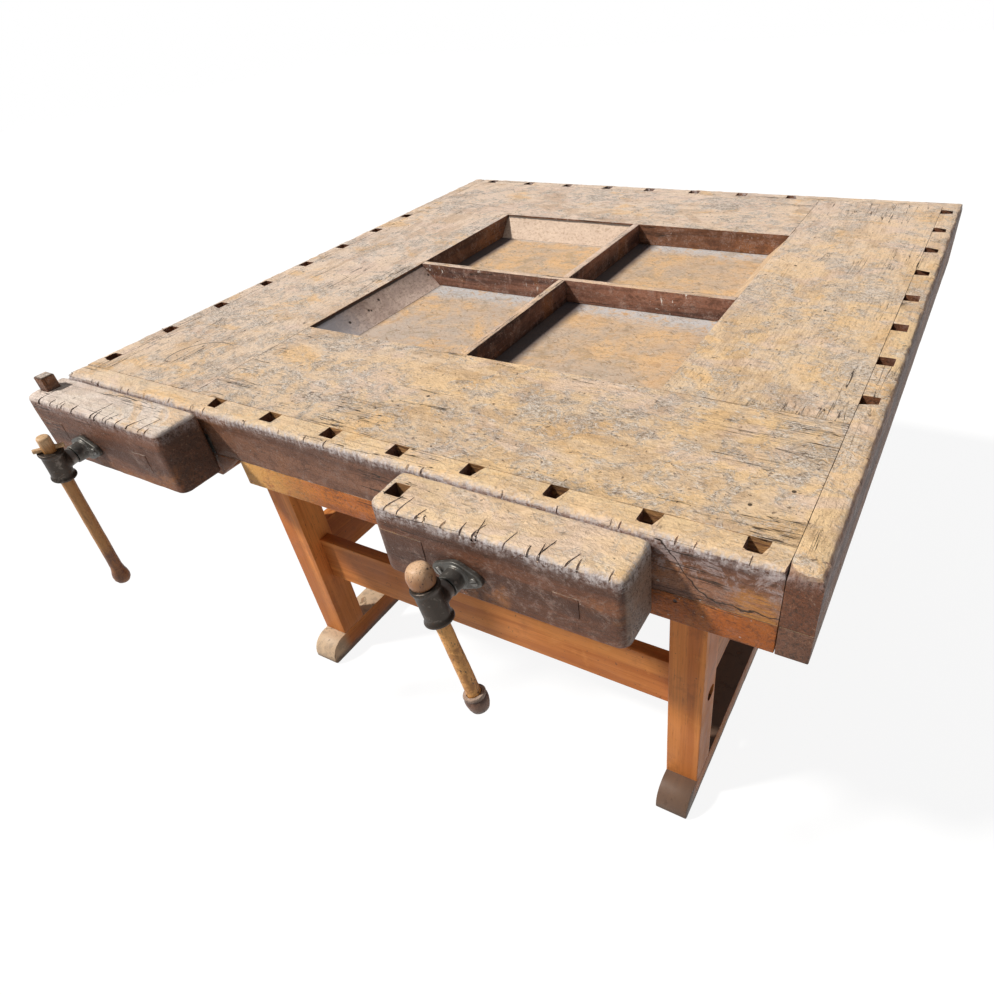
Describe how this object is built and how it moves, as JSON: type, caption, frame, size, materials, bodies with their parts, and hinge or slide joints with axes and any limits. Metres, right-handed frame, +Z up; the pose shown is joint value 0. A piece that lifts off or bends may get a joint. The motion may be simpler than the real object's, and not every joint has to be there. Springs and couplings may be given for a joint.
{
  "type": "workbench",
  "caption": "Square joiner's workbench for shared use, with a divided tool tray, dog holes along every edge, front screw vises with wooden jaws and a trestle underframe.",
  "frame": {"origin": "on the floor, under the middle of the square top", "axes": "+X right along the vise side, +Y to the back, +Z up"},
  "size_m": [1.35, 1.5139, 0.865],
  "materials": {
    "top_wood": "worn, scratched and greyed",
    "edge_wood": "dark worn oil and wax",
    "tray_wood": "dusty, dark at the walls",
    "frame_wood": "satin orange-brown varnish",
    "jaw_wood": "dark, glazed at worn edges",
    "handle_wood": "hand-polished",
    "knob_wood": "dark, hand-polished",
    "screw_iron": "oiled black",
    "flange_iron": "worn grey",
    "fixing_steel": "dull, lightly rusted"
  },
  "bodies": {
    "bench": {"front_plank": "top_wood", "right_plank": "top_wood", "back_plank": "top_wood", "left_plank": "top_wood", "front_dog_strip": "edge_wood", "front_lath": "edge_wood", "right_dog_strip": "edge_wood", "right_lath": "edge_wood", "back_dog_strip": "edge_wood", "back_lath": "edge_wood", "left_dog_strip": "edge_wood", "left_lath": "edge_wood", "left_vise_block": "edge_wood", "tray_floor": "tray_wood", "cross_divider": "tray_wood", "long_divider": "tray_wood", "back_left_ramp": "tray_wood", "front_left_ramp": "tray_wood", "front_right_ramp": "tray_wood", "back_right_ramp": "tray_wood", "left_foot": "frame_wood", "right_foot": "frame_wood", "left_bearer": "frame_wood", "right_bearer": "frame_wood", "left_side_rail": "frame_wood", "right_side_rail": "frame_wood", "front_left_leg": "frame_wood", "back_left_leg": "frame_wood", "front_right_leg": "frame_wood", "back_right_leg": "frame_wood", "front_stretcher": "frame_wood", "back_stretcher": "frame_wood", "left_nut": "screw_iron", "right_nut": "screw_iron", "left_guide_bush": "flange_iron", "right_guide_bush": "flange_iron", "stretcher_bolts": "fixing_steel", "stretcher_nuts": "fixing_steel", "bearer_screws": "fixing_steel"},
    "right_jaw": {"right_jaw": "jaw_wood", "right_jaw_cover": "jaw_wood", "right_guide_plug": "jaw_wood", "right_flange": "flange_iron", "right_flange_screws": "flange_iron", "right_guide_rod": "fixing_steel"},
    "right_screw": {"right_screw": "screw_iron"},
    "right_handle": {"right_handle": "handle_wood", "right_handle_knob": "knob_wood"},
    "left_jaw": {"left_jaw": "jaw_wood", "left_jaw_cover": "jaw_wood", "left_guide_plug": "jaw_wood", "left_flange": "flange_iron", "left_flange_screws": "flange_iron", "left_guide_rod": "fixing_steel"},
    "left_screw": {"left_screw": "screw_iron"},
    "left_handle": {"left_handle": "handle_wood", "left_handle_pin": "handle_wood"},
    "left_dog": {"left_dog": "knob_wood"}
  },
  "joints": [
    {"name": "right_jaw_slide", "type": "slide", "parent": "bench", "child": "right_jaw", "axis": [0, -1, 0], "range_m": [-0.0057, 0.1501]},
    {"name": "right_screw_turn", "type": "hinge", "parent": "right_jaw", "child": "right_screw", "pos_m": [0.258, -0.817, 0.768], "axis": [0, -1, 0], "range_deg": [-336, 9000]},
    {"name": "right_handle_slide", "type": "slide", "parent": "right_screw", "child": "right_handle", "axis": [-0.1822, 0, 0.9833], "range_m": [0, 0.1315]},
    {"name": "left_jaw_slide", "type": "slide", "parent": "bench", "child": "left_jaw", "axis": [0, -1, 0], "range_m": [-0.0057, 0.1501]},
    {"name": "left_screw_turn", "type": "hinge", "parent": "left_jaw", "child": "left_screw", "pos_m": [-0.5295, -0.817, 0.768], "axis": [0, -1, 0], "range_deg": [-336, 9000]},
    {"name": "left_handle_slide", "type": "slide", "parent": "left_screw", "child": "left_handle", "axis": [0.1478, 0, 0.989], "range_m": [0, 0.215]},
    {"name": "left_dog_slide", "type": "slide", "parent": "left_jaw", "child": "left_dog", "axis": [0, 0, 1], "range_m": [-0.025, 0.04]}
  ],
  "couplings": [
    {"joint": "right_jaw_slide", "follows": "right_screw_turn", "m_per_rad": 0.00095493},
    {"joint": "left_jaw_slide", "follows": "left_screw_turn", "m_per_rad": 0.00095493}
  ]
}
